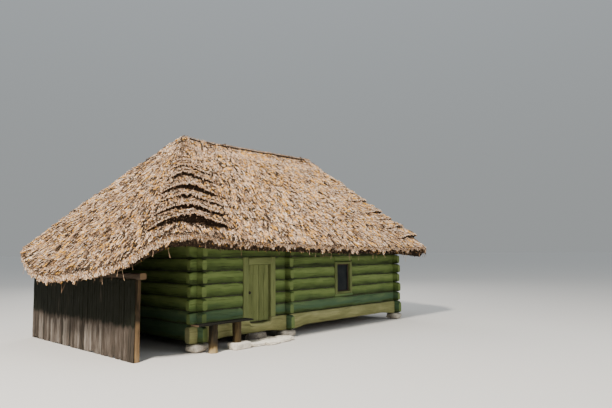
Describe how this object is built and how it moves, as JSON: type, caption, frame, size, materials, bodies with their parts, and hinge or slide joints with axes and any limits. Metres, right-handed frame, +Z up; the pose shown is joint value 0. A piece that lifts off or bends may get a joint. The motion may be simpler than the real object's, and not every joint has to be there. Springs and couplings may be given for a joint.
{
  "type": "thatched log cottage",
  "caption": "Old log cottage on field stones with a hipped straw roof whose hips are laid in steps, a plank door, a small window, a lean-to and a bench.",
  "frame": {"origin": "middle of the footprint, roof included, on the ground", "axes": "+X along the front wall to the right, +Y from the front wall to the back, +Z up"},
  "size_m": [12.5224, 7.697, 6.0628],
  "materials": {
    "field_stone": "rough",
    "straw_thatch": "weathered straw",
    "pale_sill_log": "weathered",
    "limewashed_log": "worn limewash",
    "door_plank": "worn limewash",
    "frame_board": "worn limewash",
    "dark_iron": "worn",
    "window_glass": "old pane",
    "dark_pole": "weathered",
    "weathered_board": "weathered grey"
  },
  "bodies": {
    "cottage": {"stone_front_left": "field_stone", "stone_front_middle": "field_stone", "stone_front_right": "field_stone", "stone_back_left": "field_stone", "stone_back_middle": "field_stone", "stone_back_right": "field_stone", "door_step": "field_stone", "sill_front": "pale_sill_log", "wall_front_left": "limewashed_log", "wall_front_middle": "limewashed_log", "wall_front_under_window": "limewashed_log", "wall_front_right": "limewashed_log", "wall_front_top": "limewashed_log", "wall_back": "limewashed_log", "wall_left": "limewashed_log", "wall_right": "limewashed_log", "sill_cross": "pale_sill_log", "wall_cross_front": "limewashed_log", "wall_cross_back": "limewashed_log", "wall_cross_top": "limewashed_log", "floor_hall": "weathered_board", "floor_room": "weathered_board", "ceiling_beam_1": "weathered_board", "ceiling_beam_2": "weathered_board", "ceiling_beam_3": "weathered_board", "ceiling_beam_4": "weathered_board", "ceiling_boards": "weathered_board", "door_post_left": "frame_board", "door_post_right": "frame_board", "door_lintel": "frame_board", "window_frame": "frame_board", "window_glass": "window_glass", "thatch_front": "straw_thatch", "thatch_right_end": "straw_thatch", "thatch_back": "straw_thatch", "thatch_left_end": "straw_thatch", "thatch_ridge": "straw_thatch", "rafter_pair_1": "dark_pole", "rafter_pair_2": "dark_pole", "rafter_pair_3": "dark_pole", "rafter_pair_4": "dark_pole", "rafter_left_end": "dark_pole", "rafter_right_end": "dark_pole", "leanto_post_front": "weathered_board", "leanto_post_back": "weathered_board", "leanto_plate": "weathered_board", "leanto_boards": "weathered_board", "leanto_back_boards": "weathered_board", "bench_seat": "pale_sill_log", "bench_leg_left": "pale_sill_log", "bench_leg_right": "pale_sill_log", "bench_stone": "field_stone", "ridge_poles": "dark_pole"},
    "door": {"door_leaf": "door_plank", "door_knob": "dark_iron"}
  },
  "joints": [
    {"name": "door_hinge", "type": "hinge", "parent": "cottage", "child": "door", "pos_m": [-1.2264, -2.7425, 1.3], "axis": [0, 0, -1], "range_deg": [0, 90]}
  ]
}
